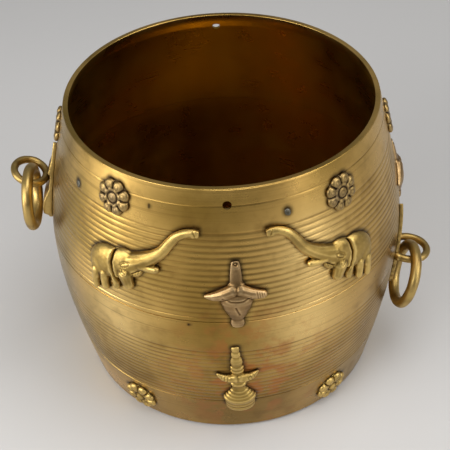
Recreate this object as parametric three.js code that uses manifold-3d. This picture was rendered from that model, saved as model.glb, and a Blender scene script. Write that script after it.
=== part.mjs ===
// Brass storage vessel: a barrel-shaped body of two halves joined by a stepped lap at the seam, with cast
// ornaments held by tangs through the wall, and a loose ring in an eye on each side.
// Millimetres, +Z up. The origin is the centre of the base's underside, and -Y is the front.
import * as THREE from 'three';
import { mergeVertices } from 'three/addons/utils/BufferGeometryUtils.js';
import Module from 'manifold-3d';

const wasm = await Module();
wasm.setup();

// Body
const HEIGHT = 244;
const RIM_RADIUS = 120;
const BELLY_RADIUS = 141.2;
const BELLY_HEIGHT = 128.7;
const FOOT_RADIUS = 121.8;
const FOOT_CORNER = 5;
const LOWER_TIGHTNESS = 1.5;
const UPPER_TIGHTNESS = 2.8;
const WALL = 2.6;
const BASE_THICKNESS = 3;
const RIM_THICKNESS = 4;
const RIM_BAND = 9;
const RIM_CHAMFER = 0.6;
const BODY_SEGMENTS = 48;
const PROFILE_STEPS = 6;
const BODY_REACH = 200;

// Seam: the lower half's tongue stands inside the upper half's rebate
const SEAM_HEIGHT = HEIGHT - 106;
const SEAM_LAP = 9;
const JOINT_GAP = 0.3;
const TONGUE = (WALL - JOINT_GAP) / 2;

// Holes through the mouth band, front and back
const RIM_HOLE_RADIUS = 3.2;
const RIM_HOLES = [{ azimuth: 0.2, drop: 11.6 }, { azimuth: 180.8, drop: 12.6 }];

// Cast ornaments
const SEAT_GAP = 0.3;
const TANG_RADIUS = 1.5;
const TANG_CLEARANCE = 0.3;
const TANG_SIDES = 6;
const TANG_ROOT = 1.5;
const FITTING_ALLOWANCE = 2;
const ROSETTE_RADIUS = 14.5;
const ROSETTE_RISE = 4.6;
const ROSETTE_PETALS = 8;
const UPPER_ROSETTES = { left: { azimuth: -38.9, drop: 19.8 }, right: { azimuth: 40, drop: 24.8 } };
const LOWER_ROSETTES = { left: { azimuth: -36.5, height: 21.5 }, right: { azimuth: 38.6, height: 20 } };
const SIDE_ROSETTES = { left: { azimuth: -90, drop: 23 }, right: { azimuth: 89, drop: 27 } };
const ELEPHANTS = {
  left: { azimuth: -31.8, height: HEIGHT - 71.3, climb: 17 },
  right: { azimuth: 34.5, height: HEIGHT - 74, climb: 18 },
};
const UPPER_LAMP_AZIMUTH = 1.9;
const UPPER_LAMP_HEIGHT = HEIGHT - 84.7;
const LOWER_LAMP_AZIMUTH = 1.4;
const LOWER_LAMP_HEIGHT = 74.6;
const LOWER_LAMP_LEAN = 2.3;
const SIDE_LAMP_AZIMUTH = 89;
const SIDE_LAMP_HEIGHT = HEIGHT - 81;
const PLUGS = { left: { azimuth: -57.1, drop: 28.6 }, right: { azimuth: 19.6, drop: 23.4 } };
const PLUG_HEAD_RADIUS = 3;
const PLUG_HEAD_RISE = 0.9;

// Ring handles. An eye is an ellipse of round bar: standOff is from the wall to its centre, reach its outward
// half axis, rise and roll its tilts. Its ring hangs on it at the bearing angle, with some slack in the ring's
// own plane.
const EYE_HALF_WIDTH = 14;
const EYE_BAR_RADIUS = 3.2;
const EYE_STEM_FLARE = 1.3;
const RING_BAR_RADIUS = 4.45;
const RING_CLEARANCE = 0.3;
const PLATE_WIDTH = 30;
const PLATE_THICKNESS = 2.7;
const HANDLE_TANG_RADIUS = 3.2;
const HANDLE_SIDES = 12;
const BURR_RADIUS = 7;
const BURR_THICKNESS = 1.6;
const HANDLES = [
  {
    side: 'left', azimuth: -90, height: HEIGHT - 74.2, toFront: 1, plateHeight: HEIGHT - 74, plateLength: 68,
    standOff: 18.9, reach: 12.8, rise: 10, roll: 3,
    ringRadius: 22.5, ringAzimuth: -91.5, ringTilt: 0, bearing: 96, slack: 1.35,
    tongues: [[[35, 0], [9, 5], [7, 0]], [[5, 0], [-14, 6.8], [-21, 7.6], [-26, 7.1], [-33, 0]]],
  },
  {
    side: 'right', azimuth: 80, height: 101.5, toFront: -1, plateHeight: 108.5, plateLength: 76,
    standOff: 10.5, reach: 15.1, rise: 0, roll: 0,
    ringRadius: 24.2, ringAzimuth: 90.5, ringTilt: -16.3, bearing: 78, slack: 0.42,
    tongues: [],
  },
];

const brass = new THREE.MeshStandardMaterial({ color: 0xb08d48, roughness: 0.38, metalness: 1 });
const castBrass = new THREE.MeshStandardMaterial({ color: 0xc8a860, roughness: 0.34, metalness: 1 });
const solder = new THREE.MeshStandardMaterial({ color: 0x6e6c66, roughness: 0.6, metalness: 1 });

const radians = THREE.MathUtils.degToRad;

// Solids from three.js geometry, joined and cut
function solidOf(geometry) {
  const plain = geometry.clone();
  plain.deleteAttribute('normal');
  plain.deleteAttribute('uv');
  const merged = mergeVertices(plain, 1e-4);
  return new wasm.Manifold(new wasm.Mesh({
    numProp: 3,
    vertProperties: merged.attributes.position.array,
    triVerts: new Uint32Array(merged.index.array),
  }));
}

function geometryOf(solid) {
  const mesh = solid.getMesh();
  const geometry = new THREE.BufferGeometry();
  geometry.setAttribute('position', new THREE.BufferAttribute(mesh.vertProperties, 3));
  geometry.setIndex(new THREE.BufferAttribute(mesh.triVerts, 1));
  return geometry;
}

const joined = (solids) => solids.reduce((all, solid) => all.add(solid));
const cutBy = (solid, tools) => tools.reduce((left, tool) => left.subtract(tool), solid);

// Outer surface of the body: nearly straight flanks that round over at the belly
function bodyRadius(z) {
  const above = z > BELLY_HEIGHT;
  const reach = above ? HEIGHT - BELLY_HEIGHT : BELLY_HEIGHT;
  const drop = BELLY_RADIUS - (above ? RIM_RADIUS : FOOT_RADIUS);
  const tightness = above ? UPPER_TIGHTNESS : LOWER_TIGHTNESS;
  const bend = Math.hypot(1, (tightness * Math.abs(z - BELLY_HEIGHT)) / reach) - 1;
  return BELLY_RADIUS - (drop * bend) / (Math.hypot(1, tightness) - 1);
}

// A point of the outer surface by azimuth from the front and height, with its outward normal
function surfaceFrame(azimuth, z) {
  const step = 0.5;
  const slope = (bodyRadius(z + step) - bodyRadius(z - step)) / (2 * step);
  const length = Math.hypot(1, slope);
  const a = radians(azimuth);
  const outward = new THREE.Vector3(Math.sin(a), -Math.cos(a), 0);
  const along = new THREE.Vector3(Math.cos(a), Math.sin(a), 0);
  const normal = outward.clone().multiplyScalar(1 / length);
  normal.z = -slope / length;
  const up = new THREE.Vector3().crossVectors(normal, along);
  const point = outward.clone().multiplyScalar(bodyRadius(z));
  point.z = z;
  return { point, normal, along, up, slope };
}

// The surface frame at x, y of an ornament that lies flat on the body, turned and perhaps mirrored
function placedFrame({ azimuth, height, turn = 0, mirrored = false }, x, y) {
  const cos = Math.cos(radians(turn));
  const sin = Math.sin(radians(turn));
  const across = (x * cos - y * sin) * (mirrored ? -1 : 1);
  const climb = x * sin + y * cos;
  const z = height + climb / Math.hypot(1, surfaceFrame(azimuth, height).slope);
  return surfaceFrame(azimuth + THREE.MathUtils.radToDeg(across / bodyRadius(z)), z);
}

// Lays a flat relief on the body: x runs round the body, y up the flank and z out of the surface
function wrapped(solid, placing) {
  const geometry = geometryOf(solid);
  const position = geometry.attributes.position;
  for (let i = 0; i < position.count; i++) {
    const spot = placedFrame(placing, position.getX(i), position.getY(i));
    spot.point.addScaledVector(spot.normal, position.getZ(i) + SEAT_GAP);
    position.setXYZ(i, spot.point.x, spot.point.y, spot.point.z);
  }
  if (placing.mirrored) {
    const index = geometry.index;
    for (let i = 0; i < index.count; i += 3) {
      const first = index.getX(i);
      index.setX(i, index.getX(i + 1));
      index.setX(i + 1, first);
    }
  }
  return solidOf(geometry);
}

const heights = (low, high, steps) =>
  Array.from({ length: steps + 1 }, (_, i) => low + ((high - low) * i) / steps);
const outerAt = (z) => new THREE.Vector2(bodyRadius(z), z);
const innerAt = (z) => new THREE.Vector2(bodyRadius(z) - WALL, z);
const lathed = (points) => solidOf(new THREE.LatheGeometry(points, BODY_SEGMENTS).rotateX(Math.PI / 2));

const lowerStations = heights(FOOT_CORNER, SEAM_HEIGHT - JOINT_GAP / 2, PROFILE_STEPS);
const upperStations = heights(SEAM_HEIGHT + JOINT_GAP / 2, HEIGHT - RIM_CHAMFER, PROFILE_STEPS);

const lapLow = SEAM_HEIGHT + SEAM_LAP - JOINT_GAP / 2;
const lapHigh = SEAM_HEIGHT + SEAM_LAP + JOINT_GAP / 2;
const lowerInside = heights(FOOT_CORNER + 1, lapLow, 5);
const upperInside = heights(lapHigh, HEIGHT - RIM_BAND - 3, 4);

// All the room inside a skin that follows the body's outer surface at a distance
const insideSkin = (distance, stations = [0, ...lowerStations, ...upperStations, HEIGHT]) => lathed([
  new THREE.Vector2(0, 0),
  ...stations.map((z) => new THREE.Vector2(bodyRadius(z) + distance, z)),
  new THREE.Vector2(0, HEIGHT),
]);
const seat = insideSkin(SEAT_GAP);
const plateFace = insideSkin(SEAT_GAP + PLATE_THICKNESS);
const plateSeat = insideSkin(2 * SEAT_GAP + PLATE_THICKNESS);
const inStations = [...lowerInside, ...upperInside];
const burrSeat = insideSkin(-WALL - SEAT_GAP, inStations);
const burrFace = insideSkin(-WALL - SEAT_GAP - BURR_THICKNESS, inStations);

// Relief shapes, in the flat
function ellipsoid(x, y, z, rx, ry, rz, turn = 0) {
  const geometry = new THREE.SphereGeometry(1, 10, 5);
  geometry.scale(rx, ry, rz);
  geometry.rotateZ(radians(turn));
  geometry.translate(x, y, z);
  return solidOf(geometry);
}

function taperedBar(points, radii, sides = 8, steps = 1) {
  const line = new THREE.CatmullRomCurve3(points.map(([x, y, z]) => new THREE.Vector3(x, y, z)));
  const rings = (points.length - 1) * steps + 1;
  const corners = [];
  const faces = [];
  for (let i = 0; i < rings; i++) {
    const share = i / (rings - 1);
    const at = line.getPoint(share);
    const along = line.getTangent(share);
    const side = new THREE.Vector3(-along.y, along.x, 0).normalize();
    const out = new THREE.Vector3().crossVectors(along, side);
    const place = share * (radii.length - 1);
    const before = Math.min(Math.floor(place), radii.length - 2);
    const radius = THREE.MathUtils.lerp(radii[before], radii[before + 1], place - before);
    for (let j = 0; j < sides; j++) {
      const angle = (2 * Math.PI * j) / sides;
      const corner = at.clone();
      corner.addScaledVector(side, radius * Math.cos(angle));
      corner.addScaledVector(out, radius * Math.sin(angle));
      corners.push(corner.x, corner.y, corner.z);
    }
  }
  for (let i = 0; i < rings - 1; i++) {
    for (let j = 0; j < sides; j++) {
      const a = i * sides + j;
      const b = i * sides + ((j + 1) % sides);
      faces.push(a, b, a + sides, b, b + sides, a + sides);
    }
  }
  const last = (rings - 1) * sides;
  for (let j = 1; j < sides - 1; j++) {
    faces.push(0, j + 1, j);
    faces.push(last, last + j, last + j + 1);
  }
  const geometry = new THREE.BufferGeometry();
  geometry.setAttribute('position', new THREE.Float32BufferAttribute(corners, 3));
  geometry.setIndex(faces);
  return solidOf(geometry);
}

// A turned piece lying on its side: profile is [height along y, radius] from the bottom up
function turned(profile, flatness, sides = 10) {
  const points = profile.map(([y, r]) => new THREE.Vector2(r, y));
  points.unshift(new THREE.Vector2(0, profile[0][0]));
  points.push(new THREE.Vector2(0, profile[profile.length - 1][0]));
  const geometry = new THREE.LatheGeometry(points, sides);
  geometry.scale(1, 1, flatness);
  return solidOf(geometry);
}

// Keeps the part of a casting that stands above the seat, with enough below it to be fitted to the wall
function relief(solids) {
  const slab = new THREE.BoxGeometry(2 * BODY_REACH, 2 * BODY_REACH, BODY_REACH);
  slab.translate(0, 0, BODY_REACH / 2 - FITTING_ALLOWANCE);
  return joined(solids).intersect(solidOf(slab));
}

// A round bar square to the wall, from one height above the outer surface down to another
function wallBar(placing, [x, y], radius, top, bottom, sides = TANG_SIDES) {
  const spot = placedFrame(placing, x, y);
  const bar = new THREE.CylinderGeometry(radius, radius, top - bottom, sides);
  bar.rotateX(Math.PI / 2).translate(0, 0, (top + bottom) / 2);
  const place = new THREE.Matrix4().makeBasis(spot.along, spot.up, spot.normal).setPosition(spot.point);
  return solidOf(bar.applyMatrix4(place));
}

// The wall's bore for a bar of that radius
const wallBore = (placing, spot, radius, sides) =>
  wallBar(placing, spot, radius + TANG_CLEARANCE, 3 * WALL, -3 * WALL, sides);

// An ornament in place: its back fitted to the wall, its tangs through the wall and filed flush inside
function fittedCasting(casting, placing, tangSpots) {
  const tangs = tangSpots.map((spot) => wallBar(placing, spot, TANG_RADIUS, TANG_ROOT, -WALL));
  return geometryOf(joined([wrapped(casting, placing).subtract(seat), ...tangs]));
}

// Ornaments
function rosette() {
  const rings = [0, 0.25, 0.42, 0.72, 1];
  const rise = [1, 0.88, 0.6, 0.86, 0.3];
  const spokes = ROSETTE_PETALS * 2;
  const corners = [0, 0, ROSETTE_RISE];
  const faces = [];
  for (let i = 1; i < rings.length; i++) {
    for (let j = 0; j < spokes; j++) {
      const angle = (2 * Math.PI * j) / spokes;
      const lobe = 1 - (0.09 * rings[i] * (1 + Math.cos(ROSETTE_PETALS * angle))) / 2;
      const radius = ROSETTE_RADIUS * rings[i] * lobe;
      corners.push(radius * Math.cos(angle), radius * Math.sin(angle), ROSETTE_RISE * rise[i]);
    }
  }
  const rim = (rings.length - 2) * spokes + 1;
  for (let j = 0; j < spokes; j++) {
    corners.push(corners[3 * (rim + j)], corners[3 * (rim + j) + 1], -FITTING_ALLOWANCE);
  }
  corners.push(0, 0, -FITTING_ALLOWANCE);
  const under = rim + spokes;
  for (let j = 0; j < spokes; j++) {
    const next = (j + 1) % spokes;
    faces.push(0, 1 + j, 1 + next);
    for (let start = 1; start < under; start += spokes) {
      const inner = start + j;
      const innerNext = start + next;
      faces.push(inner, inner + spokes, innerNext, innerNext, inner + spokes, innerNext + spokes);
    }
    faces.push(under + spokes, under + next, under + j);
  }
  const geometry = new THREE.BufferGeometry();
  geometry.setAttribute('position', new THREE.Float32BufferAttribute(corners, 3));
  geometry.setIndex(faces);
  return solidOf(geometry);
}

const ELEPHANT_TANGS = [[-22, 4], [6, 4]];
function elephant() {
  const leg = (top, foot, radius) => taperedBar([[...top, 1.5], [...foot, 1.5]], [radius * 1.25, radius], 6);
  return relief([
    ellipsoid(-19.5, 4.6, 0, 17.5, 13.3, 5.5, 6),
    ellipsoid(-3, 4, 0, 13, 12.3, 5.5),
    ellipsoid(8, 4.2, 1.5, 11.5, 9.2, 4.4, 14),
    taperedBar([[14, 6, 1.2], [24, 9.6, 1.6], [32, 13.6, 1.6], [38, 19, 1.6], [45, 24, 1.6], [52, 25.4, 1.6],
      [59, 23.6, 1.6]], [6.6, 5, 4.5, 4.1, 3.4, 3.4, 3.2], 6, 2),
    taperedBar([[14, 2, 2], [24, -2, 2.4]], [2.8, 2], 6),
    leg([-31, -3], [-36.5, -17], 2.5),
    leg([-23.5, -5], [-26, -16], 3),
    leg([-13, -5], [-14.5, -14.5], 2.6),
    leg([-3, -4], [-2.5, -12], 4.2),
  ]);
}

const UPPER_LAMP_TANGS = [[0, 12], [-2, -8]];
function upperLamp() {
  return relief([
    turned([[-25.5, 2], [-22, 4.2], [-17.5, 4], [-13, 5.6], [-7, 8], [0, 9.8], [4, 9], [7, 7.4], [10, 6],
      [12, 6.8], [14.5, 5.4], [15.5, 4.6], [28, 3.5], [31, 2.4]], 0.6),
    taperedBar([[-3, 7.5, 1.5], [-13, 3.4, 1.5], [-23.5, 2.6, 1.2]], [5.6, 4.9, 1.3], 6),
    taperedBar([[3, 7.5, 1.5], [12, 4, 1.5], [19.5, 2.4, 1.5]], [5.4, 4.6, 3.4], 6),
  ]);
}

const LOWER_LAMP_TANGS = [[0, 19], [0, -24]];
function lowerLamp() {
  return relief([
    turned([[-38, 10.6], [-37, 11.6], [-28.5, 11.8], [-21, 12.2], [-19.5, 11.6], [-15.5, 9], [-11, 6.4],
      [-5, 4.7], [0, 5], [4, 5], [8, 4.6], [13, 4.5], [17, 4.1], [26, 3.4], [33, 2.7], [38.2, 2.5]], 0.6),
    taperedBar([[-2, 2.5, 1.5], [-8, 3, 1.5], [-13.5, 6.5, 1.2]], [3.8, 3.4, 1], 6),
    taperedBar([[2, 2.5, 1.5], [9, 3.5, 1.5], [15, 7, 1.2]], [3.8, 3.4, 1], 6),
  ]);
}

// A filled hole: a solder plug with a low head on the outside
function plug() {
  const head = new THREE.CylinderGeometry(PLUG_HEAD_RADIUS, PLUG_HEAD_RADIUS * 0.6, PLUG_HEAD_RISE, 10);
  head.rotateX(Math.PI / 2).translate(0, 0, PLUG_HEAD_RISE / 2);
  return solidOf(head);
}

const ornaments = [];
const addOrnament = (name, make, tangs, azimuth, height, turn = 0, mirrored = false, material = castBrass) =>
  ornaments.push({ name, make, tangs, placing: { azimuth, height, turn, mirrored }, material });

for (const [face, centre] of [['front', 0], ['back', 180]]) {
  for (const side of ['left', 'right']) {
    const high = UPPER_ROSETTES[side];
    const low = LOWER_ROSETTES[side];
    const { azimuth, height, climb } = ELEPHANTS[side];
    addOrnament(`upper_rosette_${face}_${side}`, rosette, [[0, 0]], centre + high.azimuth, HEIGHT - high.drop);
    addOrnament(`lower_rosette_${face}_${side}`, rosette, [[0, 0]], centre + low.azimuth, low.height);
    addOrnament(`elephant_${face}_${side}`, elephant, ELEPHANT_TANGS, centre + azimuth, height, climb,
      side === 'right');
  }
  addOrnament(`upper_lamp_${face}`, upperLamp, UPPER_LAMP_TANGS, centre + UPPER_LAMP_AZIMUTH,
    UPPER_LAMP_HEIGHT);
  addOrnament(`lower_lamp_${face}`, lowerLamp, LOWER_LAMP_TANGS, centre + LOWER_LAMP_AZIMUTH,
    LOWER_LAMP_HEIGHT, LOWER_LAMP_LEAN);
}
for (const side of ['left', 'right']) {
  const rosetteAt = SIDE_ROSETTES[side];
  const plugAt = PLUGS[side];
  addOrnament(`upper_rosette_${side}`, rosette, [[0, 0]], rosetteAt.azimuth, HEIGHT - rosetteAt.drop);
  addOrnament(`solder_plug_${side}`, plug, [[0, 0]], plugAt.azimuth, HEIGHT - plugAt.drop, 0, false, solder);
}
addOrnament('side_lamp_right', upperLamp, UPPER_LAMP_TANGS, SIDE_LAMP_AZIMUTH, SIDE_LAMP_HEIGHT);

// Handles: each has a leaf plate on the wall, an eye whose tangs pass plate and wall, burrs inside, a ring
const wallPlace = ({ point, normal, along, up }) =>
  new THREE.Matrix4().makeBasis(normal, along, up).setPosition(point);

// The eye's ellipse: its outward and forward directions, and its centre line by angle from the tip
function eyeEllipse(h) {
  const place = wallPlace(surfaceFrame(h.azimuth, h.height));
  const rise = radians(h.rise);
  const roll = radians(h.roll);
  const outward = new THREE.Vector3(Math.cos(rise), 0, Math.sin(rise));
  const forward = new THREE.Vector3(
    Math.sin(rise) * Math.sin(roll), h.toFront * Math.cos(roll), -Math.cos(rise) * Math.sin(roll));
  outward.transformDirection(place);
  forward.transformDirection(place);
  const root = new THREE.Vector3().setFromMatrixPosition(place);
  const pointAt = (angle) => root.clone().addScaledVector(outward, h.standOff + h.reach * Math.cos(angle))
    .addScaledVector(forward, EYE_HALF_WIDTH * Math.sin(angle));
  return { outward, forward, root, pointAt, square: new THREE.Vector3().crossVectors(outward, forward) };
}

function eyeLoop(h, barRadius, steps = 28, sides = 10) {
  const { outward, forward, square, pointAt } = eyeEllipse(h);
  const corners = [];
  const faces = [];
  for (let i = 0; i < steps; i++) {
    const angle = (2 * Math.PI * i) / steps;
    const centre = pointAt(angle);
    const across = outward.clone().multiplyScalar(EYE_HALF_WIDTH * Math.cos(angle))
      .addScaledVector(forward, h.reach * Math.sin(angle)).normalize();
    const next = (i + 1) % steps;
    for (let j = 0; j < sides; j++) {
      const turn = (2 * Math.PI * j) / sides;
      const corner = centre.clone().addScaledVector(across, barRadius * Math.cos(turn))
        .addScaledVector(square, barRadius * Math.sin(turn));
      corners.push(corner.x, corner.y, corner.z);
      const beside = (j + 1) % sides;
      const [a, b, c, d] = [i * sides + j, next * sides + j, next * sides + beside, i * sides + beside];
      faces.push(a, b, c, a, c, d);
    }
  }
  const geometry = new THREE.BufferGeometry();
  geometry.setAttribute('position', new THREE.Float32BufferAttribute(corners, 3));
  geometry.setIndex(faces);
  return solidOf(geometry);
}

// A closed eye stands on a stem, and one that runs into the wall stands on its own two legs
function eyeBar(h, margin = 0) {
  const loop = eyeLoop(h, EYE_BAR_RADIUS + margin);
  if (h.standOff <= h.reach) {
    return loop;
  }
  const { outward, forward, square, root } = eyeEllipse(h);
  const length = h.standOff - h.reach + EYE_BAR_RADIUS;
  const thin = EYE_BAR_RADIUS + margin;
  const stem = new THREE.CylinderGeometry(thin, EYE_BAR_RADIUS * EYE_STEM_FLARE + margin, length, HANDLE_SIDES);
  stem.rotateZ(-Math.PI / 2).translate(length / 2, 0, 0);
  stem.applyMatrix4(new THREE.Matrix4().makeBasis(outward, forward, square).setPosition(root));
  return loop.add(solidOf(stem));
}

function eyeFeet(h) {
  if (h.standOff > h.reach) {
    return [[0, 0]];
  }
  const spread = EYE_HALF_WIDTH * Math.sqrt(1 - (h.standOff / h.reach) ** 2);
  return [[-spread, 0], [spread, 0]];
}

// Where the ring hangs: round the eye's front bar, with the eye's rear bar outside it
function ringHang(h) {
  const { outward, forward, pointAt } = eyeEllipse(h);
  const turn = radians(h.ringAzimuth);
  const tilt = radians(h.ringTilt);
  const axis = new THREE.Vector3(
    Math.sin(turn) * Math.cos(tilt), -Math.cos(turn) * Math.cos(tilt), Math.sin(tilt));
  const bearing = radians(h.bearing);
  const middle = Math.atan2(EYE_HALF_WIDTH * forward.dot(axis), h.reach * outward.dot(axis));
  const front = pointAt(bearing);
  const rearward = pointAt(2 * middle - bearing).sub(front);
  const apart = rearward.length();
  rearward.normalize();
  const down = new THREE.Vector3().crossVectors(axis, rearward);
  down.multiplyScalar(-Math.sign(down.z));
  const bear = EYE_BAR_RADIUS + RING_BAR_RADIUS + h.slack;
  const toFront = h.ringRadius - bear;
  const toRear = h.ringRadius + bear;
  const back = (toFront ** 2 - toRear ** 2 + apart ** 2) / (2 * apart);
  const drop = Math.sqrt(toFront ** 2 - back ** 2);
  const place = new THREE.Matrix4().makeBasis(axis, rearward, down).setPosition(front);
  if (place.determinant() < 0) {
    place.makeBasis(axis, rearward.negate(), down).setPosition(front);
    return { place, back: -back, drop };
  }
  return { place, back, drop };
}

// All the room that the ring takes as it swings
function swingRoom(h, { place, back, drop }) {
  const radius = Math.hypot(back, drop) + h.ringRadius + RING_BAR_RADIUS + RING_CLEARANCE;
  const disc = new THREE.CylinderGeometry(radius, radius, 2 * (RING_BAR_RADIUS + RING_CLEARANCE), 32);
  return solidOf(disc.rotateZ(Math.PI / 2).applyMatrix4(place));
}

function handlePlate(h, tools) {
  const half = h.plateLength / 2;
  const leaf = new THREE.Shape();
  leaf.moveTo(-PLATE_WIDTH / 4, -half);
  leaf.lineTo(PLATE_WIDTH / 4, -half);
  leaf.quadraticCurveTo(PLATE_WIDTH / 2, -0.9 * half, PLATE_WIDTH / 2, -half / 2);
  leaf.quadraticCurveTo(0.45 * PLATE_WIDTH, 0, 0, half);
  leaf.quadraticCurveTo(-0.45 * PLATE_WIDTH, 0, -PLATE_WIDTH / 2, -half / 2);
  leaf.quadraticCurveTo(-PLATE_WIDTH / 2, -0.9 * half, -PLATE_WIDTH / 4, -half);
  const depth = 8 * PLATE_THICKNESS;
  const blank = new THREE.ExtrudeGeometry(leaf, { depth, bevelEnabled: false, curveSegments: 6 });
  const centre = surfaceFrame(h.azimuth, h.plateHeight);
  const place = new THREE.Matrix4().makeBasis(centre.along, centre.up, centre.normal);
  blank.translate(0, 0, -depth / 2).applyMatrix4(place.setPosition(centre.point));
  const root = wallPlace(surfaceFrame(h.azimuth, h.height));
  const tongues = h.tongues.map((outline) => {
    const side = new THREE.Shape(outline.map(([up, reach]) => new THREE.Vector2(reach, up)));
    const tongue = new THREE.ExtrudeGeometry(side, { depth: PLATE_WIDTH, bevelEnabled: false });
    return solidOf(tongue.translate(0, 0, -PLATE_WIDTH / 2).rotateX(Math.PI / 2).applyMatrix4(root));
  });
  return cutBy(solidOf(blank).intersect(joined([plateFace, ...tongues])), [seat, ...tools]);
}

function handleEye(h, feet) {
  const tangs = feet.map((spot) =>
    wallBar(h, spot, HANDLE_TANG_RADIUS, 2 * PLATE_THICKNESS, -WALL - 2 * BURR_THICKNESS, HANDLE_SIDES));
  return joined([eyeBar(h).subtract(plateSeat), ...tangs]);
}

// A washer bent to the wall, under one tang or both
function handleBurr(h, feet, tangBores) {
  const discs = feet.map((spot) => wallBar(h, spot, BURR_RADIUS, 0, -4 * WALL, 16));
  return cutBy(wasm.Manifold.hull(discs).intersect(burrSeat), [burrFace, ...tangBores]);
}

const vessel = new THREE.Group();
vessel.name = 'brass_storage_vessel';

const upperHoles = [];
const lowerHoles = [];
for (const { name, make, tangs, placing, material } of ornaments) {
  const mesh = new THREE.Mesh(fittedCasting(make(), placing, tangs), material);
  mesh.name = name;
  vessel.add(mesh);
  const bores = tangs.map((spot) => wallBore(placing, spot, TANG_RADIUS));
  (placing.height > SEAM_HEIGHT ? upperHoles : lowerHoles).push(...bores);
}

for (const h of HANDLES) {
  const feet = eyeFeet(h);
  const tangBores = feet.map((spot) => wallBore(h, spot, HANDLE_TANG_RADIUS, HANDLE_SIDES));
  const hang = ringHang(h);
  const eyeRoom = eyeBar(h, SEAT_GAP).subtract(plateFace);
  const pieces = {
    handle_plate: handlePlate(h, [...tangBores, eyeRoom, swingRoom(h, hang)]),
    handle_eye: handleEye(h, feet),
    handle_burr: handleBurr(h, feet, tangBores),
  };
  for (const [name, solid] of Object.entries(pieces)) {
    const mesh = new THREE.Mesh(geometryOf(solid), castBrass);
    mesh.name = `${name}_${h.side}`;
    vessel.add(mesh);
  }
  upperHoles.push(...tangBores);
  lowerHoles.push(...tangBores);
  const pivot = new THREE.Group();
  pivot.name = `ring_pivot_${h.side}`;
  hang.place.decompose(pivot.position, pivot.quaternion, pivot.scale);
  const ring = new THREE.Mesh(new THREE.TorusGeometry(h.ringRadius, RING_BAR_RADIUS, 10, 32), castBrass);
  ring.name = `ring_${h.side}`;
  ring.rotation.y = Math.PI / 2;
  ring.position.set(0, hang.back, hang.drop);
  pivot.add(ring);
  vessel.add(pivot);
}

for (const { azimuth, drop } of RIM_HOLES) {
  upperHoles.push(wallBore({ azimuth, height: HEIGHT - drop }, [0, 0], RIM_HOLE_RADIUS - TANG_CLEARANCE));
}

// Body halves, as closed turned profiles
function upperHalf() {
  const low = upperStations[0];
  const points = [
    ...upperStations.map(outerAt),
    new THREE.Vector2(RIM_RADIUS - RIM_CHAMFER, HEIGHT),
    new THREE.Vector2(RIM_RADIUS - RIM_THICKNESS + RIM_CHAMFER, HEIGHT),
    new THREE.Vector2(RIM_RADIUS - RIM_THICKNESS, HEIGHT - RIM_CHAMFER),
    new THREE.Vector2(bodyRadius(HEIGHT - RIM_BAND) - RIM_THICKNESS, HEIGHT - RIM_BAND),
    ...upperInside.map(innerAt).reverse(),
    new THREE.Vector2(bodyRadius(lapHigh) - TONGUE, lapHigh),
    new THREE.Vector2(bodyRadius(low) - TONGUE, low),
    outerAt(low),
  ];
  return cutBy(lathed(points), upperHoles);
}

function lowerHalf() {
  const high = lowerStations[PROFILE_STEPS];
  const tongueAt = (z) => new THREE.Vector2(bodyRadius(z) - TONGUE - JOINT_GAP, z);
  const cornerX = bodyRadius(FOOT_CORNER) - FOOT_CORNER;
  const corner = (radius, z, angle) => new THREE.Vector2(
    cornerX + radius * Math.sin(radians(angle)), z + radius * (1 - Math.cos(radians(angle))));
  const points = [
    new THREE.Vector2(0, 0),
    ...[0, 30, 60].map((angle) => corner(FOOT_CORNER, 0, angle)),
    ...lowerStations.map(outerAt),
    tongueAt(high),
    tongueAt(lapLow),
    ...lowerInside.map(innerAt).reverse(),
    ...[60, 30, 0].map((angle) => corner(FOOT_CORNER - WALL, BASE_THICKNESS, angle)),
    new THREE.Vector2(0, BASE_THICKNESS),
  ];
  return cutBy(lathed(points), lowerHoles);
}

for (const [name, half] of [['upper_body', upperHalf()], ['lower_body', lowerHalf()]]) {
  const mesh = new THREE.Mesh(geometryOf(half), brass);
  mesh.name = name;
  vessel.add(mesh);
}

export default vessel;
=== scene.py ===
import math

import bmesh
import bpy
import numpy as np
from mathutils import Matrix, Vector


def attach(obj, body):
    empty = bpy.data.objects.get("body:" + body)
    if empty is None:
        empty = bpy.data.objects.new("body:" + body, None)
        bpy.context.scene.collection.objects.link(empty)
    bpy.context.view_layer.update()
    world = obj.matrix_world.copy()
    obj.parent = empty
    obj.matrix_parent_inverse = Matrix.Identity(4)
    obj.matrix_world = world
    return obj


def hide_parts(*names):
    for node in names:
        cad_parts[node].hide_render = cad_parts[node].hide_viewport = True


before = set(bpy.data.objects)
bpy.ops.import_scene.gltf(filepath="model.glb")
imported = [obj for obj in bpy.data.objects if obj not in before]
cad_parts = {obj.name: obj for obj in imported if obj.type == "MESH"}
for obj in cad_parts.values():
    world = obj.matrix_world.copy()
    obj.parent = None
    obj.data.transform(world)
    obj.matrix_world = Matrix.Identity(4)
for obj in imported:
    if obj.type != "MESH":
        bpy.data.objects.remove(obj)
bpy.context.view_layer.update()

MM = 0.001

# Body
HEIGHT = 244
RIM_RADIUS = 120
BELLY_RADIUS = 141.2
BELLY_HEIGHT = 128.7
FOOT_RADIUS = 121.8
FOOT_CORNER = 5
LOWER_TIGHTNESS = 1.5
UPPER_TIGHTNESS = 2.8
WALL = 2.6
BASE_THICKNESS = 3
RIM_THICKNESS = 4
RIM_BAND = 9
RIM_BAND_TAPER = 3
RIM_ROUNDING = 0.6
SEAM_HEIGHT = 138
SEAM_LAP = 9
JOINT_GAP = 0.3
SEAM_BEVEL_IN = 0.5
SEAM_BEVEL_UP = 0.4
TONGUE = (WALL - JOINT_GAP) / 2
SHARP_ANGLE = 40

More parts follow.
